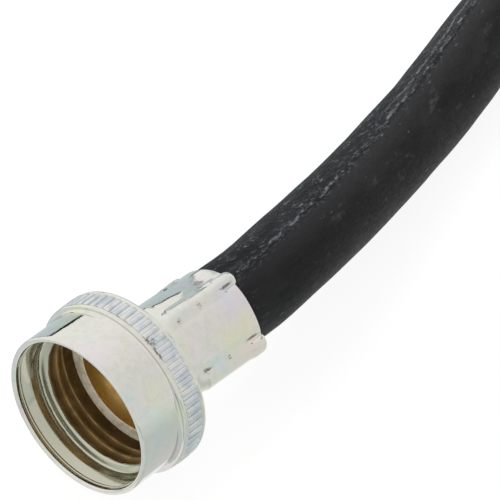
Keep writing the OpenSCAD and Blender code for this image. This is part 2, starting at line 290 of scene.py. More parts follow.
rounded = add(tree, "GeometryNodeSetShadeSmooth", {"Geometry": lumpy})
finish_tree(tree, rounded, sizes["Material"])
print("hose tree:", len(tree.nodes), "nodes")

# %% [markdown]
# ## Black rubber
# The hose is extruded from recycled crumb rubber. It is matt black with a dry bloom of
# chalk along its mould line, fine pits, and pale specks beside it. A painted sheen lies
# beside the mould line. Marks in the room's coordinates would be cut off at each bend, so
# they are drawn on the straightened hose: round the section and along the length.

# %% Materials in layers
def new_material(name, base, **shader_inputs):
    """A material with a base colour and its Principled shader's inputs set by name."""
    material = bpy.data.materials.new(name)
    material.use_nodes = True
    tree = material.node_tree
    shader = tree.nodes["Principled BSDF"]
    shader.inputs["Base Color"].default_value = linear(base)
    for key, value in shader_inputs.items():
        shader.inputs[key.replace("_", " ")].default_value = value
    return material, tree, shader


def noise(tree, place, size_mm, detail=2.0, roughness=0.5):
    """Noise with features of this size on coordinates in metres."""
    return add(tree, "ShaderNodeTexNoise",
               {"Vector": place, "Scale": 1 / (size_mm * MM), "Detail": detail,
                "Roughness": roughness})


def mask(tree, *steps):
    """How strongly a mark shows: a product of smooth steps.

    Each step is a value, where it starts and ends, and what it gives at start and end."""
    product = None
    for value, start, end, at_start, at_end in steps:
        step = add(tree, "ShaderNodeMapRange",
                   {"Value": value, "From Min": start, "From Max": end,
                    "To Min": at_start, "To Max": at_end}, interpolation_type="SMOOTHSTEP")
        product = maths(tree, "MULTIPLY", product, step) if product else step
    return product


def largest(tree, first, *others):
    """The largest of several values."""
    for other in others:
        first = maths(tree, "MAXIMUM", first, other)
    return first


def lay_over(tree, shader, amount, hex_colour):
    """Lays a colour over what the base colour is so far, as strong as the amount."""
    base = shader.inputs["Base Color"]
    below = base.links[0].from_socket if base.is_linked else tuple(base.default_value)
    mixed = add(tree, "ShaderNodeMix", {0: amount, 6: below, 7: linear(hex_colour)},
                data_type="RGBA")
    tree.links.new(mixed.outputs[2], base)


def roughen(tree, shader, height, deep_mm):
    """Bends the shading as a surface with this height map, this deep, would."""
    bump = add(tree, "ShaderNodeBump",
               {"Height": height, "Strength": 1.0, "Distance": deep_mm * MM})
    tree.links.new(bump.outputs[0], shader.inputs["Normal"])


print("each mark lays its colour over those before it")

# %% The straightened hose
SEAM_TURN, SEAM_TWIST, SEAM_WANDER = math.radians(-77), math.radians(-300), 0.34
STRETCH, SECOND_LINE = 0.4, 0.2
rubber, tree, shader = new_material("extruded_black_rubber", "#141414",
                                    Specular_IOR_Level=0.14)
section = add(tree, "ShaderNodeAttribute", attribute_name="section").outputs["Vector"]
length = add(tree, "ShaderNodeAttribute", attribute_name="along").outputs["Fac"]
stretched = add(tree, "ShaderNodeCombineXYZ",
                {"Z": maths(tree, "MULTIPLY", length, STRETCH)})
straight = add(tree, "ShaderNodeVectorMath", {0: section, 1: stretched}, operation="ADD")
wander = noise(tree, stretched, 3.5, 3.0)
fine, coarse = noise(tree, straight, 0.45, 5.0, 0.65), noise(tree, straight, 1.5, 3.0, 0.6)
cloud, smudge = noise(tree, straight, 2.6, 5.0, 0.7), noise(tree, straight, 5.0, 4.0)
dots = add(tree, "ShaderNodeTexVoronoi", {"Vector": straight, "Scale": 1 / (1.9 * MM)})
parts = add(tree, "ShaderNodeSeparateXYZ", {0: section}).outputs
turn = maths(tree, "ARCTAN2", parts["Y"], parts["X"])
twisted = maths(tree, "MULTIPLY_ADD", length, SEAM_TWIST, SEAM_TURN - SEAM_WANDER / 2)
seam = maths(tree, "MULTIPLY_ADD", wander, SEAM_WANDER, twisted)
past = maths(tree, "SUBTRACT", turn, seam)
from_seam = maths(tree, "WRAP", past, math.pi, -math.pi)
off_seam = maths(tree, "ABSOLUTE", from_seam)
off_second = maths(tree, "ABSOLUTE", maths(tree, "ADD", from_seam, SECOND_LINE))
print("the seam turns by", round(math.degrees(SEAM_TWIST)), "degrees in a metre")

# %% Chalk, bloom and painted sheen
WORN_SIDE = ((from_seam, -0.15, 0.02, 1.0, 0.0), (from_seam, -1.5, -0.9, 0.0, 1.0))
CHALK = (
    # The seam's own line, its halo, and the fainter line beside it
    ((off_seam, 0.01, 0.065, 1.0, 0.0), (coarse, 0.42, 0.58, 0.0, 1.0),
     (fine, 0.4, 0.62, 0.0, 1.0)),
    ((off_seam, 0.05, 0.3, 0.4, 0.0), (fine, 0.5, 0.66, 0.0, 1.0)),
    ((off_second, 0.015, 0.06, 0.8, 0.0), (length, 0.05, 0.085, 0.0, 1.0),
     (fine, 0.42, 0.6, 0.0, 1.0)),
    # Specks on the worn side, dust, and pale smudges
    (*WORN_SIDE, (fine, 0.5, 0.68, 0.0, 0.9), (coarse, 0.46, 0.62, 0.0, 1.0)),
    ((dots, 0.07, 0.18, 0.5, 0.0), (coarse, 0.5, 0.6, 0.0, 1.0)),
    ((cloud, 0.58, 0.74, 0.0, 0.3),))
# Painted sheen: a lighter band just beside the seam stands in for light the rubber catches
# there, in the colour of the pale smudges
painted_sheen = mask(tree, (from_seam, 0.05, 0.22, 0.0, 0.8), (from_seam, 0.35, 0.75, 1.0, 0.0))
bloom_and_sheen = largest(tree, mask(tree, (smudge, 0.42, 0.75, 0.0, 1.0)), painted_sheen)
lay_over(tree, shader, bloom_and_sheen, "#252527")
chalk = largest(tree, *(mask(tree, *steps) for steps in CHALK))
lay_over(tree, shader, chalk, "#74757b")
print("chalk:", len(CHALK), "kinds of mark")

# %% Pits and ridge
RIPPLE_MM, FINE_SHARE, WORN_SHARE, SMOOTH_SHARE = 0.5, 0.4, 0.9, 0.1
tree.links.new(mask(tree, (fine, 0.3, 0.7, 0.48, 0.66)).outputs[0],
               shader.inputs["Roughness"])
rough_side = maths(tree, "MULTIPLY_ADD", mask(tree, *WORN_SIDE), WORN_SHARE, SMOOTH_SHARE)
pits = maths(tree, "MULTIPLY_ADD", fine, FINE_SHARE, coarse)
ridge = mask(tree, (off_seam, 0.0, 0.11, 0.5, 0.0))
roughen(tree, shader, maths(tree, "MULTIPLY_ADD", rough_side, pits, ridge), RIPPLE_MM)
print("rubber:", len(tree.nodes), "nodes")

# %% [markdown]
# ## From mesh to piece
# A finished mesh becomes a piece of the part once it rides on a body and the solid it
# stands in for is hidden. Then the hose can be made.

# %% Finished pieces
def show(name, mesh, body, replaced=()):
    """Makes a finished piece, lets it ride on its body and hides the solids it replaces."""
    piece = new_object(name, mesh)
    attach(piece, body)
    if replaced:
        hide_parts(*replaced)
    print(name, "triangles:", sum(len(p.vertices) - 2 for p in piece.data.polygons))
    return piece


# %% Make the hose
HOSE_SIDES = 40
route_mesh = bpy.data.meshes.new("hose_route")
route_mesh.from_pydata((route_mm * MM).tolist(),
                       [(i, i + 1) for i in range(len(route_mm) - 1)], [])
hose_mesh = grow("hose", bpy.data.node_groups["swept_hose"], route_mesh,
                 {"Radius": hose_r * MM, "Sides": HOSE_SIDES, "Pinch share": 0.965,
                  "Pinch length": 3 * MM, "Lump height": 0.35 * MM,
                  "Lump size": 11 * MM, "Material": rubber})
hose = show("hose", hose_mesh, "hose",
            ("hose_lead", "hose_coil", "hose_tail"))
hose.visible_glossy = False  # the coil beside the coupling stays out of its reflections

# %% [markdown]
# ## Turned and stamped metal
# Every metal piece is an outline of radius and length, carried round the axis. A Screw
# modifier turns an outline too, but here a row may also change with the angle. That is
# how a rolled thread or a crimped rib becomes part of the wall and not a piece stuck on.

# %% Places and outlines
def on_inlet(radius, turn, length):
    """Points of the inlet coupling: length runs from its mouth along +Y."""
    return np.stack([radius * np.cos(turn), MOUTH_Y_MM + length,
                     AXIS_Z_MM + radius * np.sin(turn)], -1)


def on_outlet(radius, turn, length):
    """Points of the outlet coupling: length runs from its ferrule's end along +Y."""
    return np.stack([OUTLET_MM[0] + radius * np.cos(turn), OUTLET_MM[1] + length,
                     OUTLET_MM[2] + radius * np.sin(turn)], -1)


def ellipse(centre_r, centre_s, width, depth, start, end, steps):
    """Radius and length along part of an ellipse, from one angle to another."""
    angles = np.radians(np.linspace(start, end, steps + 1))
    return [(centre_r + width * math.cos(a), centre_s + depth * math.sin(a))
            for a in angles]


def arc(centre_r, centre_s, radius, start, end, steps):
    """Radius and length along an arc of an outline, from one angle to another."""
    return ellipse(centre_r, centre_s, radius, radius, start, end, steps)


def away_round(turn, angle):
    """How far round the axis from this angle in degrees, the shorter way."""
    return (turn - math.radians(angle) + math.pi) % (2 * math.pi) - math.pi


def eased(value, low, high):
    """A smooth step from 0 at low to 1 at high, for numbers or arrays."""
    share = np.clip((value - low) / (high - low), 0, 1)
    return share * share * (3 - 2 * share)


print("the inlet's mouth is at", round(MOUTH_Y_MM, 2), "mm, its axis at", AXIS_Z_MM, "mm")

# %% Skins
def smoothed(mesh, sharp):
    """Joins doubled points, turns faces outwards and keeps edges past this angle sharp."""
    work = bmesh.new()
    work.from_mesh(mesh)
    bmesh.ops.remove_doubles(work, verts=work.verts, dist=1e-6)
    bmesh.ops.recalc_face_normals(work, faces=work.faces)
    work.to_mesh(mesh)
    work.free()
    mesh.shade_smooth()
    mesh.set_sharp_from_angle(angle=math.radians(sharp))
    return mesh


def skin(name, rows, place, columns, materials, slots=None, sharp=32, marks=None):
    """A closed skin through rows of (radius, length) round the axis, in millimetres."""
    turn = np.linspace(0, 2 * math.pi, columns, endpoint=False)
    rings, wear = [], []
    for radius, length in rows:
        radius, length = (v(turn) if callable(v) else np.full(columns, float(v))
                          for v in (radius, length))
        rings.append(place(radius, turn, length))
        wear.append(marks(turn, length) if marks else 0 * turn)
    points = np.vstack(rings) * MM
    n = len(rows)
    i, j = (v.ravel() for v in np.meshgrid(range(n), range(columns), indexing="ij"))
    k, m = (i + 1) % n, (j + 1) % columns
    faces = np.stack([i * columns + j, i * columns + m, k * columns + m,
                      k * columns + j], -1)
    mesh = bpy.data.meshes.new(name)
    mesh.from_pydata(points.tolist(), [], faces.tolist())
    for material in materials:
        mesh.materials.append(material)
    if slots:
        mesh.polygons.foreach_set("material_index", np.repeat(slots, columns))
    mesh.attributes.new("wear", "FLOAT", "POINT").data.foreach_set(
        "value", np.concatenate(wear).astype(np.float32))
    return smoothed(mesh, sharp)


def darkened_at(radius, spots):
    """A skin's share of dark colour, which is highest at each of these spots."""
    def wear(turn, length):
        dark_share = 0 * turn
        for angle, at, wide, long, share in spots:
            away = np.hypot(away_round(turn, angle) * radius / wide, (length - at) / long)
            dark_share = np.maximum(dark_share, share * np.exp(-away ** 2))
        return dark_share
    return wear


print("a skin closes on its first row")

# %% [markdown]
# ## Zinc plating
# The couplings are pressed from steel sheet, zinc plated and dipped in a clear passivate.
# That leaves a pale, slightly cream metal with faint patches of lilac, yellow and green.
# In the stem's throat the passivate pools and dries yellow. Inside the nut the bore turns
# brown deeper in: partly the passivate, partly painted shade and bounced light of the bore.
# A picture wrapped round a piece would show a seam, so noise in the part's own
# coordinates gives the patches, at their real sizes.

# %% Plated steel
GRAIN_SHARE, BROKEN_SHARE = 0.08, 1.6


def plated(name, base, tints, rough, patch_mm, dent_mm=0.06, metallic=1.0):
    """Plated steel: a base colour with soft patches of each tint, haze and fine dents."""
    material, tree, shader = new_material(name, base, Metallic=metallic)
    place = add(tree, "ShaderNodeTexCoord").outputs["Object"]
    for number, (tint, low, high) in enumerate(tints):
        shifted = add(tree, "ShaderNodeVectorMath",
                      {0: place, 1: (number * 0.37, number * 0.61, 0)})
        patch = noise(tree, shifted, patch_mm, 3.0)
        lay_over(tree, shader, mask(tree, (patch, low, high, 0.0, 1.0)), tint)
    mottle = noise(tree, place, 1.3, 6.0, 0.7)
    lay_over(tree, shader, mask(tree, (mottle, 0.42, 0.68, 0.0, 0.12)), "#8e8c88")
    haze = noise(tree, place, 2.0, 5.0, 0.6)
    haze = mask(tree, (haze, 0.3, 0.7, rough * 0.7, rough * 1.6))
    tree.links.new(haze.outputs[0], shader.inputs["Roughness"])
    waves, grain = noise(tree, place, 5.0, 2.0, 0.4), noise(tree, place, 0.4, 3.0)
    roughen(tree, shader, maths(tree, "MULTIPLY_ADD", grain, GRAIN_SHARE, waves), dent_mm)
    return material, tree, shader, place


def away_from(tree, place, radius, angle, length):
    """Distance from a point on the inlet coupling."""
    point = tuple(on_inlet(radius, math.radians(angle), length) * MM)
    return add(tree, "ShaderNodeVectorMath", {0: place, 1: point},
               operation="DISTANCE").outputs["Value"]


def darken_over(tree, shader, place, dark_share):
    """Lays a dark colour over the metal where this share is high, broken up by noise: grime at
    scuffs, painted shade in creases.
    """
    broken = maths(tree, "MULTIPLY_ADD", noise(tree, place, 0.35, 4.0, 0.7), BROKEN_SHARE,
                   dark_share)
    lay_over(tree, shader, mask(tree, (broken, 1.1, 1.6, 0.0, 0.85)), "#5c5552")


print("patches, haze and dents lie in the part's own coordinates")

# %% Zinc on the outside
zinc, tree, shader, place = plated("zinc_plated_steel", "#dcdbd2", [
    ("#e2d8dc", 0.46, 0.75), ("#dddfc9", 0.5, 0.78), ("#cddade", 0.5, 0.8)], 0.05, 8.0, 0.04)
# Colour, length from the mouth, angle, radius and spread of the passivate's rainbow spots; the
# last, pale lilac one by the mouth is a painted highlight
SPOTS_AND_HIGHLIGHT = (("#dde0b0", 33, 27, 9, 4.0), ("#dde0b4", 29, 16, 9, 5.0), ("#dad2e4", 32, 52, 9, 6.0),
         ("#e2cfca", 31, -14, 9, 9.0), ("#ccd6e4", 4, 8, 15, 6.0), ("#e2d6e2", 2, 78, 15, 5.0))
for tint, at, angle, radius, spread in SPOTS_AND_HIGHLIGHT:
    away = away_from(tree, place, radius, angle, at)
    lay_over(tree, shader, mask(tree, (away, 0.0, spread * MM, 0.5, 0.0)), tint)
# Dark colour from the skins' marks: real grime in the nut's scuffs, darker punch pits, and
# painted shade along the ferrules' creases
darken_over(tree, shader, place,
           add(tree, "ShaderNodeAttribute", attribute_name="wear").outputs["Fac"])
knurl_zinc, tree, shader, place = plated("zinc_plated_knurl", "#d6d9da", [
    ("#c6ccd0", 0.4, 0.6), ("#e2dfda", 0.5, 0.7)], 0.14, 3.0, 0.12)
scuffed = away_from(tree, place, 15.9, 61, 10.3)
darken_over(tree, shader, place, mask(tree, (scuffed, 0.3 * MM, 1.9 * MM, 0.55, 0.0)))
print("zinc:", len(SPOTS_AND_HIGHLIGHT), "rainbow spots")

# %% Passivate inside
bore_zinc, tree, shader, place = plated("passivated_bore", "#9c7d49", [
    ("#84693c", 0.4, 0.6), ("#ad915b", 0.55, 0.75)], 0.42, 3.0)
along_y = add(tree, "ShaderNodeSeparateXYZ", {0: place}).outputs["Y"]
from_mouth = maths(tree, "SUBTRACT", along_y, MOUTH_Y_MM * MM)
# The bore is pale near its mouth; the brown behind it is partly passivate, partly painted shade
BROWN_START_MM, BROWN_FULL_MM = 5.9, 6.8
bright = mask(tree, (from_mouth, BROWN_START_MM * MM, BROWN_FULL_MM * MM, 1.0, 0.0))
lay_over(tree, shader, bright, "#bfbeac")
for key, start_mm, at_mouth, stained in (("Roughness", 5.6, 0.14, 0.42),
                                         ("Metallic", BROWN_START_MM, 0.9, 0.4)):
    step = mask(tree, (from_mouth, start_mm * MM, BROWN_FULL_MM * MM, at_mouth, stained))
    tree.links.new(step.outputs[0], shader.inputs[key])
# The flange's seat is matt and near white: the plating's colour with a painted reflection of
# the bright room, which the real ring shows
seat_zinc_painted_reflection = plated("zinc_seat_painted_reflection", "#faf0d8", [
    ("#d3c9ac", 0.45, 0.7)], 0.4, 1.5, metallic=0.0)[0]
throat_gold = plated("yellow_passivated_throat", "#c49c4a", [
    ("#a8823a", 0.45, 0.7), ("#d4b570", 0.55, 0.8)], 0.32, 5.0, metallic=0.4)[0]
print("materials so far:", [material.name for material in bpy.data.materials])

# %% [markdown]
# ## Rolled thread
# The nut's thread is the 3/4-11.5 garden hose thread, rolled into the sheet. Its ridge
# moves one pitch along the axis each turn and fades at both ends. The flank towards the
# mouth is steep and the back is rounder, as a roller leaves thin sheet.

# %% Thread
THREAD_PITCH_MM = 25.4 / 11.5
THREAD_MAJOR_MM, THREAD_DEPTH_MM = 13.6, 1.45
THREAD_FIRST_MM, THREAD_LAST_MM, THREAD_CREST_MM = 3.45, 11.4, 5.2
FLANK_MM, BACK_MM = (-0.85, -0.1), (0.15, 1.1)
FADE_FROM_MM, FADE_TO_MM, FADE_OUT_MM = 0.7, 2.6, 1.6


def helix(turn, length, crest, first, last):
    """Height of a right-hand thread's ridge, from 0 at its root to 1 at its crest."""
    phase = (length - crest) / THREAD_PITCH_MM + turn / (2 * math.pi)
    past = (phase - np.round(phase)) * THREAD_PITCH_MM
    ridge = eased(past, *FLANK_MM) * (1 - eased(past, *BACK_MM))
    fade_in = eased(length, first + FADE_FROM_MM, first + FADE_TO_MM)
    return ridge * fade_in * (1 - eased(length, last - FADE_OUT_MM, last))


def thread_rows(root, depth, crest, first, last, step=0.11):
    """Rows of a threaded wall: depth below zero cuts a ridge towards the axis."""
    return [((lambda turn, s=s: root + depth * helix(turn, s, crest, first, last)), s)
            for s in np.arange(first, last + step / 2, step)]


print("thread pitch:", round(THREAD_PITCH_MM, 3), "mm")

# %% [markdown]
# ## Swivel nut
# The nut is one stamped cup: a rolled lip at the mouth, a smooth skirt, a bead and a
# knurled band for the fingers, and a domed back with the hole that turns on the stem.

# %% Nut
SKIRT_R_MM, BAND_R_MM, LIP_MM = 15.0, 16.1, 1.05
BAND_FOOT_MM, BEAD_END_MM, KNURL_END_MM, RIM_END_MM = 8.2, 9.66, 13.26, 14.11
KNURL_CORE_MM = 15.84
SHOULDER_MM, NUT_FLAT_MM, NUT_BACK_MM = 13.6, 14.5, 18.1
HOLE_R_MM, RELIEF_R_MM = 8.28, 13.9
nut_rows = [
    *arc(SKIRT_R_MM - LIP_MM / 2, LIP_MM / 2, LIP_MM / 2, -180, 0, 10),
    (SKIRT_R_MM, 0.8), (SKIRT_R_MM, 3.0), (SKIRT_R_MM, 5.5), (SKIRT_R_MM, 8.0),
    *arc(SKIRT_R_MM + 0.66, BAND_FOOT_MM, 0.66, 180, 95, 8),
    *arc(BAND_R_MM - 0.44, 9.3, 0.44, -80, 0, 8),
    (BAND_R_MM - 0.01, 9.42), (BAND_R_MM - 0.05, 9.55), (BAND_R_MM - 0.14, 9.72),
    (KNURL_CORE_MM + 0.04, 9.86), (KNURL_CORE_MM, 10.05),
    (KNURL_CORE_MM, KNURL_END_MM - 0.3), (KNURL_CORE_MM + 0.05, KNURL_END_MM - 0.1),
    (BAND_R_MM - 0.1, KNURL_END_MM + 0.05),
    *arc(BAND_R_MM - 0.6, RIM_END_MM - 0.6, 0.6, -8, 80, 8),
    (13.0, NUT_FLAT_MM - 0.05), (12.8, NUT_FLAT_MM),
    *ellipse(HOLE_R_MM + 0.25, NUT_FLAT_MM, 3.9, NUT_BACK_MM - NUT_FLAT_MM, 8, 88, 14),
    (HOLE_R_MM, NUT_BACK_MM - 0.25)]
nut_bore = [
    *ellipse(HOLE_R_MM, SHOULDER_MM, 3.25, 3.8, 88, 2, 12),
    (RELIEF_R_MM, SHOULDER_MM), (RELIEF_R_MM, THREAD_LAST_MM + 0.5),
    *reversed(thread_rows(THREAD_MAJOR_MM, -THREAD_DEPTH_MM, THREAD_CREST_MM,
                          THREAD_FIRST_MM, THREAD_LAST_MM)),
    (13.32, THREAD_FIRST_MM - 0.25), (13.25, 3.0), (13.85, 1.62), (14.0, 1.5), (14.0, 1.4),
    (13.86, 1.3), (13.86, 1.18), (14.05, 1.05), (14.05, 0.95), (13.95, 0.8)]
print("nut:", len(nut_rows), "rows outside,", len(nut_bore), "inside")

# %% Make the nut
# Angle, length, width, reach and share of each scuff
SCUFFS = ((63, 10.0, 1.1, 0.8, 1), (53, 9.8, 1.5, 0.5, 1), (68, 12.4, 0.6, 0.5, 1))
nut_slots = [2 if r == KNURL_CORE_MM else 0 for r, s in nut_rows]
nut_slots += [1] * (len(nut_bore) - 1) + [0]
show("nut_shell", skin("nut_shell", nut_rows + nut_bore, on_inlet, 288,
                       [zinc, bore_zinc, knurl_zinc], nut_slots,
                       marks=darkened_at(SKIRT_R_MM, SCUFFS)),
     "nut", ("swivel_nut",))

# %% [markdown]
# ## Knurls and grip ribs
# Straight ridges round a rim repeat one small bar, which an Array modifier could do as
# well. Geometry Nodes place the bar on each point of a circle and turn it outwards, so
# the count, the radius and the bar are three inputs of one tree for all three rims.

# %% Rounded bar
def bar_mesh(name, length, width, height, sunk, end):
    """A low rounded bar along Z that rises towards +X and rounds off at both ends."""
    along = np.concatenate([[0, 0.15, 0.4, 1.0], [0.5 / end * length],
                            np.array([1.0, 0.4, 0.15, 0])]) * end
    along[5:] = length - along[5:]
    rings, across = [], np.linspace(-1, 1, 9)
    for s in along:
        rise = math.sqrt(max(0.0, 1 - (1 - min(1, s / end, (length - s) / end)) ** 2))
        top = [(height * rise * math.sqrt(1 - 0.96 * v * v), v * width / 2, s)
               for v in across]
        rings.append([(-sunk, -width / 2, s), *top, (-sunk, width / 2, s)])
    n = len(rings[0])
    faces = [(i * n + j, i * n + (j + 1) % n, (i + 1) * n + (j + 1) % n, (i + 1) * n + j)
             for i in range(len(rings) - 1) for j in range(n)]
    faces += [tuple(range(n)), tuple((len(rings) - 1) * n + j for j in range(n))]
    mesh = bpy.data.meshes.new(name)
    mesh.from_pydata([tuple(c * MM for c in p) for ring in rings for p in ring], [], faces)
    return smoothed(mesh, 60)


knurl_bar = bar_mesh("knurl_bar", length=KNURL_END_MM - BEAD_END_MM - 0.1, width=1.0,
                     height=0.34, sunk=0.3, end=0.6)
print("knurl bar:", len(knurl_bar.vertices), "points")

# %% Ridge ring
tree, sizes = size_tree("ridge_ring", {
    "Count": "Int", "Radius": "Float", "Bar": "Object", "Place": "Vector",
    "Material": "Material"})
circle = add(tree, "GeometryNodeMeshCircle",
             {"Vertices": sizes["Count"], "Radius": sizes["Radius"]})
outwards = add(tree, "FunctionNodeAlignRotationToVector",
               {"Vector": add(tree, "GeometryNodeInputPosition")}, axis="X", pivot_axis="Z")
bar = add(tree, "GeometryNodeObjectInfo", {"Object": sizes["Bar"]}).outputs["Geometry"]
ring = add(tree, "GeometryNodeInstanceOnPoints",
           {"Points": circle, "Instance": bar, "Rotation": outwards})
laid = add(tree, "GeometryNodeTransform",
           {"Geometry": ring, "Translation": sizes["Place"],
            "Rotation": (math.radians(-90), 0, 0)})
finish_tree(tree, laid, sizes["Material"])


def ridge_ring(name, count, radius, bar, place, start, material, body):
    """A ring of bars round an inlet or outlet piece, from this length along it."""
    centre = place(np.zeros(1), np.zeros(1), np.full(1, start))[0] * MM
    source = bpy.data.objects.new(name + "_bar", bar)
    values = {"Count": count, "Radius": radius * MM, "Bar": source,
              "Place": tuple(centre), "Material": material}
    mesh = grow(name, bpy.data.node_groups["ridge_ring"], bpy.data.meshes.new(name), values)
    bpy.data.objects.remove(source)
    return show(name, mesh, body)


KNURLS = 60
ridge_ring("nut_knurl", KNURLS, KNURL_CORE_MM, knurl_bar, on_inlet, BEAD_END_MM + 0.05,
           knurl_zinc, "nut")

# %% [markdown]
# ## Inlet stem
# The stem is a drawn tube with a flat flange that takes the tap washer. Behind its sharp
# inner edge the metal dishes down to the bore. The nut is trapped behind the flange.

# %% Stem
SEAT_MM, FLANGE_R_MM, SEAT_R_MM = 12.6, 12.9, 10.5
NECK_R_MM, STEM_WALL_MM, SPIGOT_R_MM = 8.2, 0.75, 5.5
COLLAR_END_MM, SPIGOT_END_MM, FLANGE_BACK_MM = 21.5, 34.0, 13.4
stem_front = [
    *arc(FLANGE_R_MM - 0.25, FLANGE_BACK_MM - 0.25, 0.25, 90, 0, 4),
    *arc(FLANGE_R_MM - 0.25, SEAT_MM + 0.25, 0.25, 0, -90, 4),
    (SEAT_R_MM + 1.2, SEAT_MM), (SEAT_R_MM + 0.12, SEAT_MM), (SEAT_R_MM, SEAT_MM + 0.12)]
stem_back = [
    *ellipse(NECK_R_MM - STEM_WALL_MM, SEAT_MM + 0.12, 3.05, 3.48, 2, 90, 16),
    (NECK_R_MM - STEM_WALL_MM, 19.3), (SPIGOT_R_MM - STEM_WALL_MM, COLLAR_END_MM),
    (SPIGOT_R_MM - STEM_WALL_MM, SPIGOT_END_MM), (SPIGOT_R_MM, SPIGOT_END_MM),
    (SPIGOT_R_MM, COLLAR_END_MM), (NECK_R_MM, 19.58), (NECK_R_MM, 17.0),
    *ellipse(NECK_R_MM, FLANGE_BACK_MM, 3.05, 2.85, 88, 2, 12)]
stem_slots = [0] * (len(stem_front) - 1) + [1] * (len(stem_back) + 1)
show("stem_tube", skin("stem_tube", stem_front + stem_back, on_inlet, 160,
                       [seat_zinc_painted_reflection, throat_gold], stem_slots),
     "hose", ("inlet_stem",))

# %% [markdown]
# ## Crimped ferrules
# A press closes the ferrule on the hose with four jaws. Ribs with domed tips are left
# between them, and each jaw leaves a step at the collar, punch marks beside the ribs and
# a fold at the end. Separate ribs would meet the wall in a hard line. One skin whose
# radius follows a height map shades as one pressed sheet.

# %% Ferrule sizes
FERRULE_START_MM, FERRULE_R_MM, FERRULE_WALL_MM = 18.3, 8.92, 0.7
FERRULE_LONG_MM, COLLAR_MM, COLLAR_RISE_MM, STEP_MM = 16.9, 3.2, 0.1, 0.12
RIB_HIGH_MM, TIP_MM, DOME_MM, PANEL_MM = 1.0, 1.0, 1.3, 0.4
# Angle and half the width of each rib
RIBS = ((78, 1.4), (-8, 1.8), (-101, 1.4), (169, 1.4))
# Angle and length of each punch mark
PUNCHES = ((69, 3.3), (70.5, 8.3), (7.5, 3.4), (5.5, 8.8), (-113, 3.2), (-112, 8.6),
           (181, 3.3), (182, 8.4))
# Angle, length, width, reach and depth of the jaws' uneven marks and of the creases
DIMPLES = ((136, 10.8, 1.4, 2.2, -0.3), (-40, 9.0, 2.2, 4.0, 0.12),
           (38, 5.0, 3.0, 3.0, 0.06), (-140, 8.0, 1.8, 3.0, 0.2))
CREASES = ((71.5, 15.0, 0.36, 1.8, 0.22), (8.2, 15.0, 0.36, 1.7, 0.22),
           (-114, 15.2, 0.32, 1.5, 0.2), (7.0, 3.9, 0.35, 1.1, 0.2))
print("ferrule:", len(RIBS), "ribs,", len(PUNCHES), "punches,", len(CREASES), "creases")


# %% Ferrule marks
def across_rib(turn, angle):
    """Distance round the ferrule from a rib's middle, in millimetres."""
    return away_round(turn, angle) * FERRULE_R_MM


def tip_out(turn):
    """How far the end of the ferrule reaches out over a rib's tip, as a share."""
    out = 0
    for angle, half in RIBS:
        x = np.clip(abs(across_rib(turn, angle)) / half, 0, 1)
        out = np.maximum(out, np.sqrt(1 - x * x))
    return out


print("a rib's tip reaches", TIP_MM, "mm past the ferrule's end")


# %% Ferrule height
def ferrule_height(turn, length):
    """Radius of the ferrule's outside at a length from its collar's end."""
    end = FERRULE_LONG_MM + TIP_MM * tip_out(turn)
    crimped = eased(length, COLLAR_MM - 0.2, COLLAR_MM + 0.25)
    near_rib = np.min([abs(away_round(turn, angle)) for angle, half in RIBS], axis=0)
    radius = FERRULE_R_MM + COLLAR_RISE_MM - STEP_MM * crimped
    radius = radius + PANEL_MM * crimped * (eased(-near_rib, -0.75, -0.1) - 0.15)
    for angle, half in RIBS:
        away = abs(across_rib(turn, angle))
        ridge = np.clip(1 - (away / (half * 1.5)) ** 2, 0, 1) ** 1.6
        knob = 1.2 * np.clip(1 - (away / half) ** 2.2, 0, 1) ** 0.55
        at_tip = eased(length, FERRULE_LONG_MM - 3.6, FERRULE_LONG_MM - 1.6)
        rise = (ridge + (knob - ridge) * at_tip) * eased(length, 0.3, 3.4)
        past = np.clip((length - end + DOME_MM) / DOME_MM, 0, 1)
        dome = np.sqrt(np.clip(1 - past ** 2, 0, 1))
        radius = radius + RIB_HIGH_MM * rise * dome
    for angle, at in PUNCHES:  # a small pit with a faint raised rim
        away = np.hypot(across_rib(turn, angle), length - at)
        radius = radius + (0.02 * np.exp(-((away - 0.6) / 0.2) ** 2)
                           - 0.07 * np.exp(-(away / 0.34) ** 2))
    for angle, at, wide, long, deep in DIMPLES + CREASES:  # soft ovals
        away = (across_rib(turn, angle) / wide) ** 2 + ((length - at) / long) ** 2
        radius = radius - deep * np.exp(-away ** 1.5)
    return radius


print("ferrule's widest radius:",
      round(ferrule_height(np.linspace(0, 2 * math.pi, 361), 16.0).max(), 2), "mm")

# %% Ferrule rows
EDGE_MM, RIM_ROW_MM = 0.3, 16.8


def ferrule_rows():
    """Rows of a ferrule from its collar's end out to its tips and back inside."""
    inside = FERRULE_R_MM - FERRULE_WALL_MM + 0.02
    rows = []
    for s in [0.0, 0.06, 0.2, 0.4, *np.arange(0.6, 17.0, 0.12)]:
        share = eased(s, FERRULE_LONG_MM - 2.5, FERRULE_LONG_MM)

        def reach(turn, s=s, share=share):
            return s + share * (FERRULE_LONG_MM + TIP_MM * tip_out(turn) - RIM_ROW_MM)

        def height(turn, s=s, reach=reach):
            rounding = math.sqrt(max(0, 1 - (1 - min(1, s / EDGE_MM)) ** 2))
            return ferrule_height(turn, reach(turn)) - EDGE_MM * (1 - rounding)

        rows.append((height, reach))
    return rows + [(inside, reach), (inside, 12.0), (inside, 4.0), (inside, 0.0)]


print("ferrule:", len(ferrule_rows()), "rows")

# %% Both ferrules
CRIMP_LEAN, CRIMP_LEAN_TURN = 0.026, math.radians(-39)


def on_inlet_ferrule(radius, turn, length):
    """Points of the inlet ferrule, which the press leaves leaning by a degree or two."""
    points = on_inlet(radius, turn, FERRULE_START_MM + length)
    lean = CRIMP_LEAN * (length + 6)
    return points + np.stack([lean * math.cos(CRIMP_LEAN_TURN), 0 * lean,
                              lean * math.sin(CRIMP_LEAN_TURN)], -1)


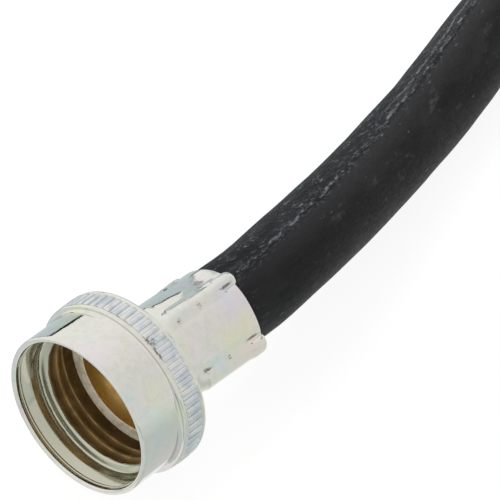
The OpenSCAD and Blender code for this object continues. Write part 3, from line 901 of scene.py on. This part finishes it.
def on_outlet_ferrule(radius, turn, length):
    """Points of the outlet ferrule, measured from its collar's end back to the hose."""
    return on_outlet(radius, turn, FERRULE_LONG_MM - length)


# The punch pits are painted darker, and the creases get painted shade
ferrule_darkening = darkened_at(FERRULE_R_MM, [
    *((angle, at, 0.55, 0.6, 0.65) for angle, at in PUNCHES),
    *((angle, at, wide * 0.7, long, 0.9) for angle, at, wide, long, deep in CREASES)])
for name, place in (("inlet_ferrule", on_inlet_ferrule), ("outlet_ferrule", on_outlet_ferrule)):
    sleeve = skin(name + "_sleeve", ferrule_rows(), place, 560, [zinc], marks=ferrule_darkening)
    show(name + "_sleeve", sleeve, "hose", (name,))

# %% [markdown]
# ## Outlet fitting
# The far end has the matching male coupling: a collar with shallow ridges to hold it by
# and the rolled male thread that the cap screws on.

# %% Outlet fitting
GRIP_START_MM, GRIP_END_MM, MALE_END_MM = 16.92, 21.42, 30.92
GRIP_CORE_MM, MALE_ROOT_MM, MALE_DEPTH_MM, OUTLET_BORE_MM = 14.1, 12.25, 1.1, 10.5
MALE_CREST_MM = 23.0
fitting_rows = [
    (SPIGOT_R_MM - STEM_WALL_MM, 1.2), (SPIGOT_R_MM, 1.2), (SPIGOT_R_MM, 13.7),
    (NECK_R_MM, 15.62), (NECK_R_MM, GRIP_START_MM),
    *arc(GRIP_CORE_MM - 0.5, GRIP_START_MM + 0.5, 0.5, -90, 0, 5),
    *arc(GRIP_CORE_MM - 0.5, GRIP_END_MM - 0.5, 0.5, 0, 90, 5),
    (MALE_ROOT_MM + 0.3, GRIP_END_MM), (MALE_ROOT_MM, GRIP_END_MM + 0.3),
    *thread_rows(MALE_ROOT_MM, MALE_DEPTH_MM, MALE_CREST_MM, GRIP_END_MM + 0.4,
                 MALE_END_MM - 0.2),
    *arc(MALE_ROOT_MM - 0.3, MALE_END_MM - 0.3, 0.3, 30, 90, 4),
    *arc(OUTLET_BORE_MM + 0.3, MALE_END_MM - 0.3, 0.3, 90, 180, 4),
    (OUTLET_BORE_MM, 19.0), (OUTLET_BORE_MM - 0.3, 18.5), (7.45, 16.92), (7.45, 15.62),
    (SPIGOT_R_MM - STEM_WALL_MM, 13.7)]
show("outlet_coupling", skin("outlet_coupling", fitting_rows, on_outlet, 240, [zinc]),
     "hose", ("outlet_fitting",))
GRIPS = 48
grip_bar = bar_mesh("grip_bar", length=3.7, width=1.2, height=0.38, sunk=0.3, end=0.4)
ridge_ring("outlet_grip", GRIPS, GRIP_CORE_MM, grip_bar, on_outlet, GRIP_START_MM + 0.4,
           zinc, "hose")

# %% [markdown]
# ## End cap
# A moulded screw cap closes the far end, so that the water has to leave through the wall.
# It is black polypropylene with a fine texture and grip ribs.

# %% Cap plastic
plastic, tree, shader = new_material("moulded_polypropylene", "#1b1c1e", Roughness=0.42)
place = add(tree, "ShaderNodeTexCoord").outputs["Object"]
lay_over(tree, shader, noise(tree, place, 6, 3.0), "#27282a")
roughen(tree, shader, noise(tree, place, 0.3), 0.02)
print("plastic:", len(tree.nodes), "nodes")

# %% Cap
CAP_RIBS = 24
CAP_MOUTH_MM, CAP_FLOOR_MM, CAP_END_MM = 21.82, 33.56, 35.56
CAP_R_MM, CAP_CORE_MM, CAP_BORE_MM = 16.0, 15.4, 13.5
cap_rows = [
    (CAP_BORE_MM + 0.3, CAP_MOUTH_MM), *arc(CAP_R_MM - 0.3, CAP_MOUTH_MM + 0.3, 0.3, -90, 0, 4),
    (CAP_R_MM, CAP_MOUTH_MM + 1.35), (CAP_CORE_MM, CAP_MOUTH_MM + 1.7),
    *arc(CAP_CORE_MM - 1.5, CAP_END_MM - 1.5, 1.5, 0, 86, 8),
    (11.6, CAP_END_MM), (11.2, CAP_END_MM - 0.35), (0.0, CAP_END_MM - 0.45),
    (0.0, CAP_FLOOR_MM), (CAP_BORE_MM, CAP_FLOOR_MM),
    *reversed(thread_rows(CAP_BORE_MM, -0.9, MALE_CREST_MM + THREAD_PITCH_MM / 2,
                          CAP_MOUTH_MM + 0.8, MALE_END_MM)),
    (CAP_BORE_MM, CAP_MOUTH_MM + 0.3)]
show("cap_shell", skin("cap_shell", cap_rows, on_outlet, 200, [plastic]), "cap",
     ("end_cap",))
cap_bar = bar_mesh("cap_bar", length=10.6, width=2.3, height=0.52, sunk=0.4, end=0.7)
ridge_ring("cap_ribs", CAP_RIBS, CAP_CORE_MM, cap_bar, on_outlet, CAP_MOUTH_MM + 1.4,
           plastic, "cap")

# %% [markdown]
# ## Rubber inside the couplings
# The hose's two crimped ends and the cap's washer keep the shape of their solids and
# only get a smooth moulded rubber.

# %% Rubber inside
RUBBER_NODES = ("hose_inlet_end", "hose_outlet_end", "cap_washer")
moulded, tree, shader = new_material("moulded_black_rubber", "#202123", Roughness=0.6)
place = add(tree, "ShaderNodeTexCoord").outputs["Object"]
lay_over(tree, shader, noise(tree, place, 3, 3.0), "#2d2e30")
for name in RUBBER_NODES:
    for material_slot in nodes[name].material_slots:
        material_slot.material = moulded
print("moulded rubber on", RUBBER_NODES)

# %% [markdown]
# ## Floor and light
# The part lies on a plain white floor in a light tent. The world lights it evenly from
# all round, and one soft box from above shades it. The faint sheen on the rubber is painted.

# %% Floor
def bare_tree(owner):
    """The emptied node tree of a new material or world."""
    owner.use_nodes = True
    owner.node_tree.nodes.clear()
    return owner.node_tree


floor_mesh = bpy.data.meshes.new("floor")
FLOOR_M = 6.0
floor_mesh.from_pydata([(-FLOOR_M, -FLOOR_M, 0), (FLOOR_M, -FLOOR_M, 0),
                        (FLOOR_M, FLOOR_M, 0), (-FLOOR_M, FLOOR_M, 0)], [], [(0, 1, 2, 3)])
new_object("floor", floor_mesh)
white = bpy.data.materials.new("white_floor")
tree = bare_tree(white)
paper = add(tree, "ShaderNodeBsdfDiffuse", {"Color": linear("#ededed")})
shown = add(tree, "ShaderNodeBsdfDiffuse", {"Color": (0.12, 0.12, 0.12, 1)})
glow = add(tree, "ShaderNodeEmission", {"Color": (1, 1, 1, 1), "Strength": 0.91})
lit = add(tree, "ShaderNodeAddShader", {0: shown, 1: glow})
rays = add(tree, "ShaderNodeLightPath").outputs
seen = largest(tree, rays["Is Camera Ray"], rays["Is Glossy Ray"],
               rays["Is Transmission Ray"])
surface = add(tree, "ShaderNodeMixShader", {0: seen, 1: paper, 2: lit})
add(tree, "ShaderNodeOutputMaterial", {"Surface": surface})
floor_mesh.materials.append(white)
print("floor:", 2 * FLOOR_M, "m across")

# %% World
world = bpy.data.worlds.new("tent")
bpy.context.scene.world = world
tree = bare_tree(world)
rays = add(tree, "ShaderNodeLightPath").outputs
towards = add(tree, "ShaderNodeTexCoord").outputs["Generated"]
sideways = add(tree, "ShaderNodeSeparateXYZ", {0: towards}).outputs["X"]
# What metal reflects is brighter on one side
in_metal, tent, backdrop = (
    add(tree, "ShaderNodeBackground", {"Color": (1, 1, 1, 1), "Strength": strength})
    for strength in (mask(tree, (sideways, -0.6, 0.8, 1.06, 0.86)), 0.95, 1.0))
mixed = add(tree, "ShaderNodeMixShader", {0: rays["Is Glossy Ray"], 1: tent, 2: in_metal})
seen = largest(tree, rays["Is Camera Ray"], rays["Is Transmission Ray"])
mixed = add(tree, "ShaderNodeMixShader", {0: seen, 1: mixed, 2: backdrop})
add(tree, "ShaderNodeOutputWorld", {"Surface": mixed})
print("world:", len(tree.nodes), "nodes")

# %% Soft box
BOX_PLACE, BOX_TARGET = Vector((-0.55, 0.25, 0.95)), Vector((0, 0.05, 0))
lamp = bpy.data.lights.new("top_box", "AREA")
lamp.energy, lamp.size = 6.0, 0.6
box = new_object("top_box", lamp)
box.location = BOX_PLACE
box.rotation_euler = (BOX_TARGET - BOX_PLACE).to_track_quat("-Z", "Y").to_euler()
box.visible_glossy = False
print("soft box:", lamp.energy, "W")

# %% [markdown]
# ## Cards for the metal
# Plated metal shows what stands round it, so its light and dark are made there and not in
# its material. Only reflections see these cards: an upright one in a pale blue grey, dark
# bands along its edges, and pale ones on the floor.

# %% Cards
def card(name, points, faces, hex_colour):
    """A card that only reflections see, through these points in millimetres."""
    mesh = bpy.data.meshes.new(name)
    mesh.from_pydata([tuple(c * MM for c in p) for p in points], [], faces)
    material = bpy.data.materials.new(name)
    tree = bare_tree(material)
    glow = add(tree, "ShaderNodeEmission", {"Color": linear(hex_colour), "Strength": 1.0})
    add(tree, "ShaderNodeOutputMaterial", {"Surface": glow})
    mesh.materials.append(material)
    piece = new_object(name, mesh)
    piece.visible_camera = piece.visible_diffuse = piece.visible_shadow = False
    piece.visible_transmission = False
    return tree


print("cards shine by themselves and cast no shadow")


# %% Upright card
def standing(across, height):
    """A point of the upright card behind the coupling, so far along it and so high."""
    return (-64 + 0.593 * across, 46 + 0.805 * across, height)


def strip(name, line, hex_colour):
    """A band of the upright card between each point and the point this far beside it."""
    points = [standing(a, h) for a, h, da, dh in line]
    points += [standing(a + da, h + dh) for a, h, da, dh in line]
    n = len(line)
    card(name, points, [(i, i + 1, n + i + 1, n + i) for i in range(n - 1)], hex_colour)


LEFT_EDGE_MM = [(-60, 28), (-22, 31), (-16.4, 35.8), (-10.3, 42.7), (-6, 32), (-1, 22),
                (1.3, 23.1), (3.2, 28.7), (6.1, 34.7), (7.6, 36.5), (9.2, 41)]
BRIDGE_MM = [(10.6, 47), (12.2, 54), (14, 62), (20, 76)]
WINDOW_MM = [(20, 66), (17.4, 57), (14.8, 50), (12.2, 40), (10.5, 28), (10.9, 15.5),
             (11.8, 11.5), (12.4, 14), (13.3, 28), (14.8, 38), (18.8, 53), (24, 66), (60, 100)]
outline = LEFT_EDGE_MM + BRIDGE_MM + WINDOW_MM + [(60, 0.4), (-60, 0.4)]
card("blue_card", [standing(a, h) for a, h in outline], [tuple(range(len(outline)))],
     "#cbd8dc")
strip("skirt_line", [(a, h, 0, 6) for a, h in LEFT_EDGE_MM[:4]], "#101518")
strip("crimp_line", [(a, h, 0, 4) for a, h in LEFT_EDGE_MM[3:]], "#30383d")
beside = ((-0.6, 1), (-0.7, 1), (-0.7, 1), (-0.6, 0), (-0.6, 0), (-0.6, -3.5), (0, -4), (1, -4))
strip("window_line", [(*point, *shift) for point, shift in zip(WINDOW_MM, beside)],
      "#101518")
print("upright card:", len(outline), "corners")

# %% Cards on the floor
CARD_HIGH_MM, COUPLING_HIGH_MM = 0.4, 16
for name, (left, front), (right, back), hex_colour in (
        ("blue_floor", (-130, -24), (-20, 200), "#cbd8dc"),
        ("front_floor", (-130, -220), (60, -24), "#e4eaea"),
        ("right_floor", (60, -220), (400, -24), "#ccd4d4"),
        ("grey_floor", (12, -24), (3000, 3000), "#f4faf6")):
    corners = ((left, front), (right, front), (right, back), (left, back))
    tree = card(name, [(*corner, CARD_HIGH_MM) for corner in corners], [(0, 1, 2, 3)],
                hex_colour)
print("the last card, which is shaded below, is", name)

# %% Shade of the last card
place = add(tree, "ShaderNodeTexCoord").outputs["Object"]
across = add(tree, "ShaderNodeVectorMath", {0: place, 1: (-0.598, 0.802, 0)},
             operation="DOT_PRODUCT").outputs["Value"]
far = add(tree, "ShaderNodeVectorMath", {0: place}, operation="LENGTH").outputs["Value"]
steepness = maths(tree, "DIVIDE", COUPLING_HIGH_MM * MM, far)
tone = largest(tree, mask(tree, (across, -14 * MM, -4 * MM, 0.74, 0.9)),
               mask(tree, (steepness, 0.0, 0.4, 0.92, 0.74)))
tree.links.new(tone.outputs[0], tree.nodes["Emission"].inputs["Strength"])
bpy.context.scene.view_settings.view_transform = "Standard"
print("shade:", len(tree.nodes), "nodes")
